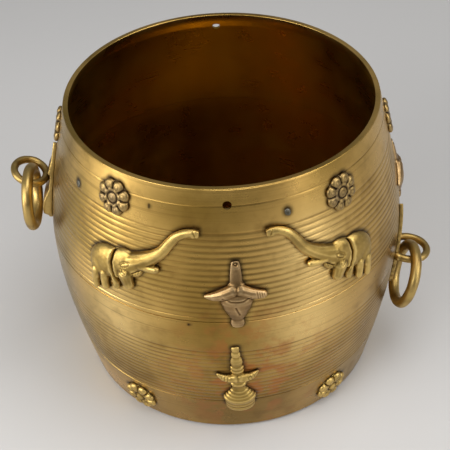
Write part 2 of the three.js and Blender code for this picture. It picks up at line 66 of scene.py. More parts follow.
# Holes through the mouth's band, as (azimuth, depth below the mouth's edge)
RIM_HOLES = [(0.2, 11.6), (180.8, 12.6)]
RIM_HOLE_RADIUS = 3.2
DRILL_LENGTH = 6 * WALL
DRILL_SIDES = 32

# Mesh fineness of the body: segments round it, millimetres between rows, and the rows of the base's flat
BODY_SEGMENTS = 480
OUTER_STEP = 0.4
INNER_STEP = 2
EDGE_STEP = 0.1
BASE_MIDDLE = 10
BASE_MARGIN = 4
BASE_ROWS_UNDER = 8
BASE_ROWS_INSIDE = 12

# Turned reeding, as depth below the plain surface
REED_PITCH = 4.6
REED_DEPTH = 0.34
REED_SHARPNESS = 1.4
UPPER_REEDS = (141.7, 211.9)
LOWER_REEDS = (41.4, 107.9)
BAND_LINE_HEIGHT = 231.6
BAND_LINE_DEPTH = 0.25
BAND_LINE_WIDTH = 0.35

# Ornaments near the mouth, as (azimuth, depth below the mouth's edge)
UPPER_ROSETTES = dict(left=(-38.9, 19.8), right=(40, 24.8))
SIDE_ROSETTES = dict(left=(-90, 23), right=(89, 27))
PLUGS = dict(left=(-57.1, 28.6), right=(19.6, 23.4))

# Lower ornaments, as (azimuth, height)
LOWER_ROSETTES = dict(left=(-36.5, 21.5), right=(38.6, 20))
UPPER_LAMP = (1.9, 159.3)
UPPER_LAMP_SQUEEZE = 0.82
LOWER_LAMP = (1.4, 74.6)
LOWER_LAMP_LEAN = 2.3
SIDE_LAMP = (89, 163)
ROSETTE_PETALS = 8
ROSETTE_RADIUS = 12.8

# Elephants, as (azimuth, height, climb)
ELEPHANTS = dict(left=(-31.8, 172.7, 17), right=(34.5, 170, 18))

# Clay: the level of its back in the wall, where carving starts, and the least that carving leaves
BACK_LEVEL = -1.2
CARVED_SIDE = 0.2
LEAST_SKIN = 0.1
BALL_FINENESS = 3
LIMB_FINENESS = 2
TURNED_SIDES = 40

# Footing of a casting: what lies lower than this touches the body
FOOTING = 0.4

# Relief that counts as a full hollow or a full height, and the rounds of smoothing it is measured by
HOLLOW_ROUNDS = 14
CAST_RELIEF = 1.2
FORGED_RELIEF = 1.4

# Ring handles
EYE_HALF_WIDTH = 14
EYE_BAR_RADIUS = 3.2
EYE_WEAR = 0.12
EYE_STEP = 4
EYE_STEM_SPREAD = 1.25
EYE_LEAST_HEIGHT = 1
SHOULDER_TOP = 6
SHOULDER_SPREAD = 1.15
SHOULDER_START = 0.5
SHOULDER_DROP = 0.4
RING_BAR_RADIUS = 4.45
RING_WEAR = 0.1
RING_SIDES = 32
RING_SEGMENTS = 180
PLATE_WIDTH = 30
PLATE_THICKNESS = 2.7
PLATE_BACK = -0.6
PLATE_EDGE_POINTS = 70
SEAT_GAP = 0.3

# Leaf outline of a plate, as shares of its width and of half its length, from its foot to its tip
LEAF = [(0.25, -1), (0.42, -0.93), (0.5, -0.75), (0.5, -0.5), (0.47, -0.25), (0.38, 0.1), (0.25, 0.45),
        (0.12, 0.75), (0.02, 1)]

# The two handles; tongue is the plate's thickness by height from its eye, at a ridge or a lug
HANDLES = [
    dict(side="left", azimuth=-90, height=169.8, to_front=1, stand_off=18.9, reach=12.8, rise=10, roll=3,
         ring_radius=22.5, ring_azimuth=-91.5, ring_tilt=0, bearing=96, slack=1.35,
         plate_height=170, plate_length=68, roughness=0.012,
         tongue=[(-33, 0), (-26, 7.1), (-21, 7.6), (-14, 6.8), (5, 0), (8, 0), (9, 5), (35, 0)]),
    dict(side="right", azimuth=80, height=101.5, to_front=-1, stand_off=10.5, reach=15.1, rise=0, roll=0,
         ring_radius=24.2, ring_azimuth=90.5, ring_tilt=-16.3, bearing=78, slack=0.42,
         plate_height=108.5, plate_length=76, roughness=0.05,
         tongue=[(-38, 0), (38, 0)]),
]

# Soft patches on the body, as (strength, azimuth, height, width, tallness)
# Painted dark reflection in a tarnished-brown tone, mostly down the front
TARNISH_AND_DARK_REFLECTION_PATCHES = [(0.85, -8, 150, 14, 75), (0.7, -4, 30, 24, 45), (0.55, -12, 228, 22, 16),
             (0.3, 58, 150, 14, 90), (0.2, 0, 30, 60, 32)]
# Painted grey shade on the flanks
FLANK_SHADE_PATCHES = [(0.8, -70, 100, 13, 80), (0.25, 70, 90, 8, 60)]
# Painted highlights on the belly and the upper flank
PAINTED_HIGHLIGHTS = [(0.85, -38, 122, 11, 34), (0.8, 24, 124, 12, 34), (0.75, 27, 185, 13, 30)]
PITS = [(1.7, -25.4, 226.3, 0.55, 1.8), (1.7, -12.6, 134.6, 0.5, 1.1), (1.7, 2.4, 94.6, 0.5, 1.1)]
# Places where the painted shade in the reeds' grooves fades
FADED_REED_PATCHES = [(0.7, -62, 170, 20, 90)]
# Cap on the painted dark reflection
TARNISH_AND_DARK_REFLECTION_LIMIT = 0.9

# Copper stain round one place on the front
STAIN_X = 10
STAIN_HEIGHT = 70
STAIN_SQUEEZE = 0.8
STAIN_REACH = 60
STAIN_STRENGTH = 1.3

# Darkening round the castings, a little above them, and painted contact shade along the foot's edge
MAP_STEP = 0.5
MAP_REACH = 5.5
HALO_RISE = 0.9
HALO_REACH = 3.4
HALO_FALL = 1.3
FOOT_SHADE_TOP = 2.4
FOOT_SHADE_FADE = 1.6
FOOT_SHADE_LIMIT = 0.85

# Depths below the plain surface that tell the inside from the outside
INSIDE_DEPTH = 0.6
INSIDE_FADE = 0.4
INSIDE_BELOW_EDGE = 1.2
OUTSIDE_DEPTH = 1.2

# Metal colours
GOLD = (0.74, 0.475, 0.14)
OLIVE = (0.4, 0.26, 0.06)
BROWN = (0.16, 0.085, 0.018)
# Tarnished brown that carries the painted dark reflection
TARNISH_AND_DARK_REFLECTION_BROWN = (0.24, 0.14, 0.025)
# Grey of the painted shade on the flanks
FLANK_SHADE_GREY = (0.31, 0.25, 0.14)
RUSTY = (0.36, 0.205, 0.055)
# Pale gold of the painted highlights
HIGHLIGHT_GOLD = (0.97, 0.69, 0.27)
COPPER = (0.42, 0.15, 0.04)
# Near black: painted shade in the castings' deepest hollows and along the foot, and the body's pits and
# darkening round the castings
NEAR_BLACK = (0.03, 0.019, 0.01)
# Darker brass of the inside, in two tones: painted shade
INSIDE_SHADE = (0.23, 0.115, 0.01)
INSIDE_SHADE_WARM = (0.42, 0.235, 0.02)
NOISE_ROUGHNESS = 0.55

# Floor and world
FLOOR_SIZE = 6
FLOOR_COLOUR = (0.595, 0.585, 0.575, 1)
FLOOR_ROUGHNESS = 0.9
WORLD_COLOUR = (0.8, 0.8, 0.8, 1)
WORLD_STRENGTH = 0.3

# Camera, fitted to the mouth, belly and foot in the photograph's frame
FOCAL_PIXELS = 1118.68
IMAGE_PIXELS = 450
SENSOR_WIDTH = 36
CAMERA_PLACE = (-0.0015251, -0.7136791, 0.7124967)
CAMERA_PITCH = 40.093
CAMERA_ROLL = -2.504

# Soft lights: name, place, height of the target on the vessel's axis, size and power
LIGHTS = [
    ("left_softbox", (-0.95, -0.95, 0.9), 0.12, (0.9, 0.7), 12),
    ("right_softbox", (1.15, -0.5, 0.95), 0.12, (0.9, 0.7), 7.5),
    ("top_softbox", (0.3, -0.2, 1.65), 0.1, (1.2, 0.8), 10.8),
    ("left_panel", (-1.0, -0.33, 0.3), 0.12, (0.35, 0.5), 4),
    ("right_panel", (0.8, -0.7, 0.3), 0.12, (0.3, 0.5), 1),
]


# Outer surface of the body
def body_radius(z):
    z = np.asarray(z, float)
    above = z > BELLY_HEIGHT
    reach = np.where(above, HEIGHT - BELLY_HEIGHT, BELLY_HEIGHT)
    drop = BELLY_RADIUS - np.where(above, RIM_RADIUS, FOOT_RADIUS)
    tightness = np.where(above, UPPER_TIGHTNESS, LOWER_TIGHTNESS)
    bend = np.hypot(1, tightness * np.abs(z - BELLY_HEIGHT) / reach) - 1
    return BELLY_RADIUS - drop * bend / (np.hypot(1, tightness) - 1)


def wall_slope(z):
    """Growth of the radius over one millimetre of height."""
    return body_radius(np.asarray(z) + 0.5) - body_radius(np.asarray(z) - 0.5)


def wall_frame(azimuth, z):
    """Point, normal, along and up of the outer surface, each an array of rows."""
    azimuth, z = np.broadcast_arrays(np.asarray(azimuth, float), np.asarray(z, float))
    a = np.radians(azimuth)
    slope = wall_slope(z)
    zero = np.zeros_like(a)
    outward = np.stack([np.sin(a), -np.cos(a), zero], -1)
    along = np.stack([np.cos(a), np.sin(a), zero], -1)
    normal = outward.copy()
    normal[..., 2] = -slope
    normal /= np.hypot(1, slope)[..., None]
    up = np.cross(normal, along)
    point = outward * body_radius(z)[..., None]
    point[..., 2] = z
    return point, normal, along, up


def on_wall(points, azimuth, height, turn=0, mirrored=False):
    """Lays flat relief points on the body: x runs round it, y up the flank, z out of the surface."""
    cos, sin = math.cos(math.radians(turn)), math.sin(math.radians(turn))
    x, y, out = points.T
    across = (x * cos - y * sin) * (-1 if mirrored else 1)
    z = height + (x * sin + y * cos) / math.hypot(1, float(wall_slope(height)))
    point, normal, _, _ = wall_frame(azimuth + np.degrees(across / body_radius(z)), z)
    return point + normal * out[:, None]


# Mesh making
def make_object(name, points, faces, flip=False):
    mesh = bpy.data.meshes.new(name)
    if flip:
        faces = [face[::-1] for face in faces]
    mesh.from_pydata((np.asarray(points) * MM).tolist(), [], faces)
    mesh.validate()
    for polygon in mesh.polygons:
        polygon.use_smooth = True
    piece = bpy.data.objects.new(name, mesh)
    bpy.context.scene.collection.objects.link(piece)
    return piece


def mesh_points(mesh):
    points = np.empty(len(mesh.vertices) * 3)
    mesh.vertices.foreach_get("co", points)
    return points.reshape(-1, 3)


def mark(piece, name, values):
    attribute = piece.data.attributes.new(name, "FLOAT", "POINT")
    attribute.data.foreach_set("value", np.asarray(values, np.float32))


def mark_hollows(piece, relief):
    """Writes 'hollow': above 0.5 in recesses and below it on high places."""
    mesh = piece.data
    points = mesh_points(mesh) / MM
    edges = np.empty(len(mesh.edges) * 2, np.int64)
    mesh.edges.foreach_get("vertices", edges)
    a, b = edges.reshape(-1, 2).T
    count = np.bincount(np.concatenate([a, b]), minlength=len(points)).clip(1)[:, None]
    smooth = points.copy()
    for _ in range(HOLLOW_ROUNDS):
        total = np.zeros_like(smooth)
        np.add.at(total, a, smooth[b])
        np.add.at(total, b, smooth[a])
        smooth = total / count
    normals = np.empty(len(mesh.vertices) * 3)
    mesh.vertex_normals.foreach_get("vector", normals)
    depth = ((smooth - points) * normals.reshape(-1, 3)).sum(1)
    mark(piece, "hollow", np.clip(0.5 + depth / relief, 0, 1))


# Clay shapes, in the flat: they overlap freely, and casting joins them
def ball(clay, x, y, z, rx, ry, rz, turn=0):
    place = Matrix.Translation((x, y, z)) @ Matrix.Rotation(math.radians(turn), 4, "Z")
    place = place @ Matrix.Diagonal((rx, ry, rz, 1))
    bmesh.ops.create_icosphere(clay, subdivisions=BALL_FINENESS, radius=1, matrix=place)


def limb(clay, points, radii, steps=14, flatness=1):
    """A tapered bar along a smooth curve through the points, as a close row of balls."""
    points = [Vector(p) for p in points]
    count = (len(points) - 1) * steps
    for i in range(count + 1):
        place = i / steps
        k = min(int(place), len(points) - 2)
        t = place - k
        before = points[max(k - 1, 0)]
        after = points[min(k + 2, len(points) - 1)]
        p, q = points[k], points[k + 1]
        centre = 0.5 * ((2 * p) + (q - before) * t + (2 * before - 5 * p + 4 * q - after) * t * t
                        + (3 * p - before - 3 * q + after) * t ** 3)
        share = i / count * (len(radii) - 1)
        j = min(int(share), len(radii) - 2)
        r = radii[j] + (radii[j + 1] - radii[j]) * (share - j)
        place = Matrix.Translation(centre) @ Matrix.Diagonal((r, r, r * flatness, 1))
        bmesh.ops.create_icosphere(clay, subdivisions=LIMB_FINENESS, radius=1, matrix=place)


def turned(clay, profile, flatness):
    """A turned piece lying on its back: profile is (height along y, radius) from the bottom up."""
    rings = []
    for y, r in profile:
        ring = []
        for i in range(TURNED_SIDES):
            angle = 2 * math.pi * i / TURNED_SIDES
            ring.append(clay.verts.new((r * math.cos(angle), y, flatness * r * math.sin(angle))))
        rings.append(ring)
    for low, high in zip(rings, rings[1:]):
        for i in range(TURNED_SIDES):
            j = (i + 1) % TURNED_SIDES
            clay.faces.new((low[i], high[i], high[j], low[j]))
    clay.faces.new(rings[0])
    clay.faces.new(rings[-1][::-1])


def slab(clay, outline, low, high):
    """A flat plate cut to an outline of (x, y) corners."""
    bottom = [clay.verts.new((x, y, low)) for x, y in outline]
    top = [clay.verts.new((x, y, high)) for x, y in outline]
    clay.faces.new(bottom[::-1])
    clay.faces.new(top)
    for i in range(len(outline)):
        j = (i + 1) % len(outline)
        clay.faces.new((bottom[i], bottom[j], top[j], top[i]))


def cast(clay, voxel, smoothing, keep_above=BACK_LEVEL):
    """Joins the clay into one skin and returns its points and faces."""
    rough = bpy.data.meshes.new("clay")
    clay.to_mesh(rough)
    clay.free()
    holder = bpy.data.objects.new("clay", rough)
    bpy.context.scene.collection.objects.link(holder)
    remesh = holder.modifiers.new("join", "REMESH")
    remesh.mode = "VOXEL"
    remesh.voxel_size = voxel
    soften = holder.modifiers.new("soften", "SMOOTH")
    soften.factor = 0.5
    soften.iterations = smoothing
    done = holder.evaluated_get(bpy.context.evaluated_depsgraph_get()).to_mesh()
    points = mesh_points(done)
    points[:, 2] = np.maximum(points[:, 2], keep_above)
    faces = [tuple(p.vertices) for p in done.polygons]
    bpy.data.objects.remove(holder)
    bpy.data.meshes.remove(rough)
    return points, faces


def line_distance(points, line):
    """Distance in the flat from each point to a line of (x, y) corners."""
    best = np.full(len(points), np.inf)
    for (x0, y0), (x1, y1) in zip(line, line[1:]):
        dx, dy = x1 - x0, y1 - y0
        t = ((points[:, 0] - x0) * dx + (points[:, 1] - y0) * dy) / (dx * dx + dy * dy)
        t = np.clip(t, 0, 1)
        best = np.minimum(best, np.hypot(points[:, 0] - x0 - t * dx, points[:, 1] - y0 - t * dy))
    return best


def carve(points, line, width, depth):
    """Presses a rounded groove into the top side of the points, in place."""
    away = line_distance(points, line)
    cut = depth * np.exp(-(away / width) ** 2)
    upper = points[:, 2] > CARVED_SIDE
    points[upper, 2] = np.maximum(points[upper, 2] - cut[upper], LEAST_SKIN)


def oval(x, y, rx, ry, turn=0, steps=20):
    c, s = math.cos(math.radians(turn)), math.sin(math.radians(turn))
    line = []
    for i in range(steps + 1):
        angle = math.radians(360 * i / steps)
        u, v = rx * math.cos(angle), ry * math.sin(angle)
        line.append((x + u * c - v * s, y + u * s + v * c))
    return line


# Ornaments, in the flat
def flower(petal_place, petal, centre, seam_depth, wear_depth):
    """A round flower: petal is (length, width, rise) and stands petal_place from the centre."""
    clay = bmesh.new()
    ball(clay, 0, 0, 0, ROSETTE_RADIUS, ROSETTE_RADIUS, 3)
    turns = [360 * (i + 0.5) / ROSETTE_PETALS for i in range(ROSETTE_PETALS)]
    for turn in turns:
        c, s = math.cos(math.radians(turn)), math.sin(math.radians(turn))
        ball(clay, petal_place * c, petal_place * s, 1, *petal, turn)
        ball(clay, 6.4 * c, 6.4 * s, 1.5, 2.2, 2.6, 1.7, turn)
    ball(clay, 0, 0, 2, *centre)
    points, faces = cast(clay, voxel=0.45, smoothing=4)
    for turn in turns:
        between = math.radians(turn + 180 / ROSETTE_PETALS)
        c, s = math.cos(between), math.sin(between)
        carve(points, [(7.5 * c, 7.5 * s), (14 * c, 14 * s)], 0.7, seam_depth)
        c, s = math.cos(math.radians(turn)), math.sin(math.radians(turn))
        carve(points, oval(9.6 * c, 9.6 * s, 1.9, 1.5, turn, 10), 0.6, wear_depth)
    carve(points, oval(0, 0, 4.2, 4.2), 0.7, 0.7)
    return points, faces


def worn_rosette():
    """The upper flower, with clear petals and a small heart."""
    return flower(9.7, (4.4, 4.7, 2.4), (2.4, 2.4, 1.3), seam_depth=0.9, wear_depth=0.15)


def lump_rosette():
    """The lower flower, with rounder petals and a big heart."""
    return flower(9.9, (4.4, 4.3, 2.9), (3.3, 3.3, 2.2), seam_depth=0.9, wear_depth=0.2)


def elephant():
    """A walking elephant in side view: x points to its head, and its trunk is raised."""
    trunk = [(2, 4.6, -2.2), (10, 5.6, -1), (17, 7.6, 0.4), (25, 10.4, 1.6), (32, 13.9, 2.1), (38, 19, 2.1),
             (45, 24, 2), (52, 25.4, 1.9), (57.4, 24.2, 1.8)]
    legs = [([(-31, -3, 1.5), (-35, -11, 1.6), (-36.5, -17.4, 1.6)], [4.6, 3, 2.5]),
            ([(-23.5, -5, 1.5), (-25.5, -11, 1.6), (-26, -16.4, 1.6)], [4, 3.3, 3.1]),
            ([(-13, -5, 1.5), (-14, -10, 1.6), (-14.5, -14.9, 1.6)], [3.8, 3, 2.6]),
            ([(-3, -4, 1.5), (-2.8, -8, 1.6), (-2.5, -12.2, 1.6)], [6, 5, 4.3])]
    clay = bmesh.new()
    ball(clay, -19.5, 4.6, 0, 17.5, 13.3, 5.4, 6)
    ball(clay, -27, 1.5, 0, 10.5, 11.6, 5.2, -8)
    ball(clay, -15, 0.5, 0, 16, 10.2, 5)
    ball(clay, -3, 4, 0, 13, 12.3, 5.2)
    ball(clay, 4, 1.5, 0, 9, 8.6, 4.6, 10)
    limb(clay, trunk, [9.6, 8.2, 6.6, 5.3, 4.5, 4.1, 3.6, 3.3, 3.2], flatness=0.8)
    slab(clay, [(55.6, 21.4), (60, 20.6), (61.4, 25.2), (57, 27.4)], 0, 3.8)
    limb(clay, [(12, 3, 1.6), (18, 1.2, 2), (23.4, -0.2, 2.2)], [3.8, 3.4, 2.9])
    for leg, radii in legs:
        limb(clay, leg, radii)
    points, faces = cast(clay, voxel=0.5, smoothing=5)
    carve(points, [(-5, 17.5), (-9, 13), (-12, 6), (-13, -1), (-12.5, -6), (-11, -10)], 0.85, 3.4)
    carve(points, oval(0.5, 4.4, 3.6, 1.5, 14), 0.45, 0.45)
    carve(points, [(-4, 4.2), (-2.6, 6.4), (1, 7.2), (5, 6.4)], 0.5, 0.35)
    carve(points, [(4, -2.6), (9, -1), (14, 0.2)], 0.6, 0.8)
    for i in range(3):
        carve(points, [(3.5 + 2.4 * i, -4.8 + 0.8 * i), (6 + 2.4 * i, -2 + 1.1 * i)], 0.4, 0.35)
    for i in range(4):
        carve(points, [(-8 + 1.4 * i, -3 + 1.4 * i), (-4.4 + 1.4 * i, -6.2 + 1.4 * i)], 0.35, 0.25)
    for x, y, rise in ((-31.5, -14.6, 2.2), (-20, -12, 3.2), (-9.6, -11, 2.6)):
        carve(points, [(x, y - 4), (x + 0.3, y + rise)], 1.1, 5)
    carve(points, [(57.4, 28), (57.9, 20.5)], 0.5, 0.5)
    return points, faces


def upper_lamp():
    """A lamp with a wing on each side, y along its axis."""
    profile = [(-25.6, 2.6), (-24.8, 4.2), (-22, 5), (-19.2, 4.8), (-17.8, 4.2), (-16.8, 4.9), (-13, 6.9),
               (-8, 9.6), (-3, 11.2), (1, 11.2), (3.6, 9.8), (5, 7.4), (5.8, 7.8), (7.4, 8), (8.8, 7),
               (9.6, 5.4), (10.6, 6.2), (12.4, 6.1), (13.6, 4.9), (14.6, 4.6), (20, 4.3), (28, 3.4),
               (30.6, 2.6), (31, 1.6)]
    clay = bmesh.new()
    turned(clay, profile, flatness=0.6)
    limb(clay, [(-3, 7.5, 1.4), (-9, 5, 1.5), (-16, 3.2, 1.4), (-22.4, 2.8, 1.1)], [5.4, 4.9, 3.6, 1])
    limb(clay, [(3, 7.5, 1.4), (9, 4.8, 1.5), (15, 3.2, 1.5), (18.6, 2.4, 1.4)], [5.2, 4.6, 3.9, 3.3])
    points, faces = cast(clay, voxel=0.45, smoothing=3)
    carve(points, [(-10, 2.6), (-4, 0.2), (4, 0.2), (9.6, 2.2)], 0.6, 0.7)
    carve(points, [(-1, -5), (1.5, -12)], 0.6, 0.6)
    carve(points, oval(0, 28.6, 1, 0.9), 0.9, 1.6)
    for i in range(4):
        carve(points, [(14 + 1.7 * i, 6 - 0.6 * i), (15.2 + 1.7 * i, -0.4 - 0.3 * i)], 0.4, 0.35)
    points[:, 2] *= UPPER_LAMP_SQUEEZE
    return points, faces


def lower_lamp():
    """A lamp on a stepped foot, with a curl on each side, y along its axis."""
    profile = [(-38, 10.6), (-37.2, 11.5), (-29.6, 11.8), (-28.9, 11.2), (-28, 11.9), (-26, 12.7),
               (-23.4, 12.7), (-22, 11.2), (-20.4, 10.8), (-19.4, 9.4), (-17.8, 9), (-16.6, 7.4), (-14.8, 7),
               (-13.6, 5.6), (-11, 4.9), (-9, 5.2), (-8, 6.1), (-6.2, 6.1), (-5, 4.7), (-1, 4.3), (3, 5.2),
               (6, 4.6), (8.6, 4.2), (9.6, 5.3), (11.4, 5.3), (12.4, 4.4), (13.4, 5.2), (15.2, 5.2),
               (16.2, 4.1), (21, 4.7), (24, 4.3), (27, 3.1), (28.4, 3.6), (31, 3.5), (32.6, 2.7), (35.4, 3.2),
               (37.6, 2.9), (38.2, 2)]
    clay = bmesh.new()
    turned(clay, profile, flatness=0.62)
    for sign in (-1, 1):
        curl = [(2 * sign, 2.5, 1.4), (6.5 * sign, 2.2, 1.5), (11 * sign, 3.6, 1.4), (15.4 * sign, 7.2, 1)]
        limb(clay, curl, [4.4, 3.7, 2.8, 0.8])
    points, faces = cast(clay, voxel=0.45, smoothing=3)
    for sign in (-1, 1):
        for i in range(3):
            carve(points, [((7 + 2 * i) * sign, 6 + i), ((8.5 + 2 * i) * sign, 0.6 + 1.4 * i)], 0.4, 0.35)
    carve(points, [(-12, -33), (12, -33)], 0.5, 0.5)
    return points, faces


def solder_head():
    clay = bmesh.new()
    ball(clay, 0, 0, 0, 2.4, 2.9, 0.7, 20)
    ball(clay, 0.5, -1.2, 0.2, 1.5, 1.7, 0.6)
    ball(clay, -0.7, 1.1, 0.2, 1.1, 1.5, 0.5)
    return cast(clay, voxel=0.35, smoothing=2, keep_above=-0.4)


# Body halves, turned from closed outlines
def spaced(low, high, step):
    return np.linspace(low, high, max(2, int(round(abs(high - low) / step)) + 1))


def reeding(z):
    z = np.asarray(z, float)
    depth = np.zeros_like(z)
    for low, high in (UPPER_REEDS, LOWER_REEDS):
        phase = (z - low) / REED_PITCH
        inside = (z > low) & (z < high)
        depth = np.where(inside, REED_DEPTH * (1 - np.abs(np.sin(math.pi * phase))) ** REED_SHARPNESS, depth)
    return depth + BAND_LINE_DEPTH * np.exp(-((z - BAND_LINE_HEIGHT) / BAND_LINE_WIDTH) ** 2)


def outer_points(low, high):
    z = spaced(low, high, OUTER_STEP)
    return np.stack([body_radius(z) - reeding(z), z], 1)


def inner_points(low, high):
    z = spaced(low, high, INNER_STEP)
    return np.stack([body_radius(z) - WALL, z], 1)


def inset(z, depth):
    """A profile point at height z, this deep below the plain surface."""
    return float(body_radius(z)) - depth, z


def arc_points(r, z, radius, start, end, steps=6):
    angles = np.radians(np.linspace(start, end, steps))
    return np.stack([r + radius * np.cos(angles), z + radius * np.sin(angles)], 1)


def revolve(name, profile, on_axis):
    """profile is (radius, height) rows; on_axis says that its two ends lie on the axis."""
    profile = np.asarray(profile)
    angles = np.radians(np.arange(BODY_SEGMENTS) * 360 / BODY_SEGMENTS)
    ring = np.stack([np.sin(angles), -np.cos(angles)], 1)
    rows = profile[1:-1] if on_axis else profile
    points = np.concatenate([ring[None] * rows[:, None, :1], np.broadcast_to(
        rows[:, None, 1:], (len(rows), BODY_SEGMENTS, 1))], 2).reshape(-1, 3)
    faces = []
    pairs = range(len(rows) - 1) if on_axis else range(len(rows))
    for i in pairs:
        a, b = i * BODY_SEGMENTS, ((i + 1) % len(rows)) * BODY_SEGMENTS
        for j in range(BODY_SEGMENTS):
            k = (j + 1) % BODY_SEGMENTS
            faces.append((a + j, a + k, b + k, b + j))
    if on_axis:
        first, last = len(points), len(points) + 1
        points = np.concatenate([points, [[0, 0, profile[0, 1]], [0, 0, profile[-1, 1]]]])
        top = (len(rows) - 1) * BODY_SEGMENTS
        for j in range(BODY_SEGMENTS):
            k = (j + 1) % BODY_SEGMENTS
            faces.append((first, k, j))
            faces.append((last, top + j, top + k))
    piece = make_object(name, points, faces)
    piece.data.set_sharp_from_angle(angle=math.radians(SHARP_ANGLE))
    return piece


def upper_shell():
    low = SEAM_HEIGHT + JOINT_GAP / 2
    lap = SEAM_HEIGHT + SEAM_LAP + JOINT_GAP / 2
    edge = RIM_ROUNDING
    inner_edge = RIM_RADIUS - RIM_THICKNESS
    profile = np.concatenate([
        [inset(low, SEAM_BEVEL_IN)],
        outer_points(low + SEAM_BEVEL_UP, HEIGHT - edge - EDGE_STEP),
        arc_points(RIM_RADIUS - edge, HEIGHT - edge, edge, start=0, end=90),
        arc_points(inner_edge + edge, HEIGHT - edge, edge, start=90, end=180),
        [inset(HEIGHT - RIM_BAND, RIM_THICKNESS)],
        inner_points(HEIGHT - RIM_BAND - RIM_BAND_TAPER, lap),
        [inset(lap, TONGUE), inset(low, TONGUE)],
    ])
    return revolve("upper_shell", profile, on_axis=False)


def lower_shell():
    high = SEAM_HEIGHT - JOINT_GAP / 2
    lap = SEAM_HEIGHT + SEAM_LAP - JOINT_GAP / 2
    corner = float(body_radius(FOOT_CORNER)) - FOOT_CORNER
    flat_edge = corner - BASE_MARGIN
    inside_corner = arc_points(corner, FOOT_CORNER, FOOT_CORNER - WALL, start=-6, end=-90, steps=8)
    profile = np.concatenate([
        [(0, 0)],
        [(r, 0) for r in np.linspace(BASE_MIDDLE, flat_edge, BASE_ROWS_UNDER)],
        arc_points(corner, FOOT_CORNER, FOOT_CORNER, start=-90, end=-4, steps=10),
        outer_points(FOOT_CORNER, high - SEAM_BEVEL_UP),
        [inset(high, SEAM_BEVEL_IN)],
        [inset(high, TONGUE + JOINT_GAP), inset(lap, TONGUE + JOINT_GAP)],
        inner_points(lap, FOOT_CORNER + 1),
        inside_corner + [0, BASE_THICKNESS - WALL],
        [(r, BASE_THICKNESS) for r in np.linspace(flat_edge, BASE_MIDDLE, BASE_ROWS_INSIDE)],
        [(0, BASE_THICKNESS)],
    ])
    return revolve("lower_shell", profile, on_axis=True)


def drill_rim_holes(shell):
    for azimuth, drop in RIM_HOLES:
        point, normal, along, up = (v[0] for v in wall_frame([azimuth], [HEIGHT - drop]))
        turn = Matrix([along, up, normal]).transposed().to_4x4()
        bpy.ops.mesh.primitive_cylinder_add(vertices=DRILL_SIDES, radius=RIM_HOLE_RADIUS * MM,
                                            depth=DRILL_LENGTH * MM)
        drill = bpy.context.object
        drill.matrix_world = Matrix.Translation(point * MM) @ turn
        bpy.context.view_layer.update()
        cut = shell.modifiers.new("hole", "BOOLEAN")
        cut.operation = "DIFFERENCE"
        cut.object = drill
        cut.solver = "MANIFOLD"
        done = bpy.data.meshes.new_from_object(shell.evaluated_get(bpy.context.evaluated_depsgraph_get()))
        shell.modifiers.clear()
        done.materials.clear()
        shell.data = done
        bpy.data.objects.remove(drill)


# Handles
def eye_ellipse(handle):
    """Root, outward and forward directions of an eye, and its centre line by angle from the tip."""
    root, normal, along, up = (v[0] for v in wall_frame([handle["azimuth"]], [handle["height"]]))
    rise, roll = math.radians(handle["rise"]), math.radians(handle["roll"])
    outward = normal * math.cos(rise) + up * math.sin(rise)
    forward = (normal * math.sin(rise) * math.sin(roll) + along * handle["to_front"] * math.cos(roll)
               - up * math.cos(rise) * math.sin(roll))

    def point_at(angle):
        return (root + outward * (handle["stand_off"] + handle["reach"] * math.cos(angle))
                + forward * EYE_HALF_WIDTH * math.sin(angle))

    return root, outward, forward, point_at


def above_wall(point):
    return math.hypot(point[0], point[1]) - float(body_radius(point[2]))


def handle_eye(handle):
    """A loop of round bar, worn a little thinner at places, closed on a stem or run into the plate."""
    root, outward, _, point_at = eye_ellipse(handle)
    clay = bmesh.new()
    for angle in np.radians(np.arange(0, 360, EYE_STEP)):
        point = point_at(angle)
        height = above_wall(point)
        if height > EYE_LEAST_HEIGHT:
            bar = EYE_BAR_RADIUS - EYE_WEAR * (1 + math.sin(3 * angle + 1) * math.sin(5 * angle))
            place = Matrix.Translation(point)
            bmesh.ops.create_icosphere(clay, subdivisions=BALL_FINENESS, radius=bar, matrix=place)
            if height < SHOULDER_TOP:
                foot = point + outward * SHOULDER_START - outward * height * SHOULDER_DROP
                limb(clay, [point, foot], [bar, bar * SHOULDER_SPREAD], steps=3)
    if handle["stand_off"] > handle["reach"]:
        start = root + outward * (SEAT_GAP + PLATE_THICKNESS)
        end = root + outward * (handle["stand_off"] - handle["reach"])
        limb(clay, [start, end], [EYE_BAR_RADIUS * EYE_STEM_SPREAD, EYE_BAR_RADIUS], steps=8)
    return cast(clay, voxel=0.45, smoothing=3, keep_above=0)


def ring_hang(handle):
    """Centre of a ring, its axis, and its rearward and downward directions."""
    _, outward, forward, point_at = eye_ellipse(handle)
    turn, tilt = math.radians(handle["ring_azimuth"]), math.radians(handle["ring_tilt"])
    axis = np.array([math.sin(turn) * math.cos(tilt), -math.cos(turn) * math.cos(tilt), math.sin(tilt)])
    bearing = math.radians(handle["bearing"])
    middle = math.atan2(EYE_HALF_WIDTH * forward @ axis, handle["reach"] * outward @ axis)
    front = point_at(bearing)
    rearward = point_at(2 * middle - bearing) - front
    apart = np.linalg.norm(rearward)
    rearward /= apart
    down = np.cross(axis, rearward)
    down *= -np.sign(down[2])
    bear = EYE_BAR_RADIUS + RING_BAR_RADIUS + handle["slack"]
    to_front, to_rear = handle["ring_radius"] - bear, handle["ring_radius"] + bear
    back = (to_front ** 2 - to_rear ** 2 + apart ** 2) / (2 * apart)
    centre = front + rearward * back + down * math.sqrt(to_front ** 2 - back ** 2)
    return centre, axis, rearward, down


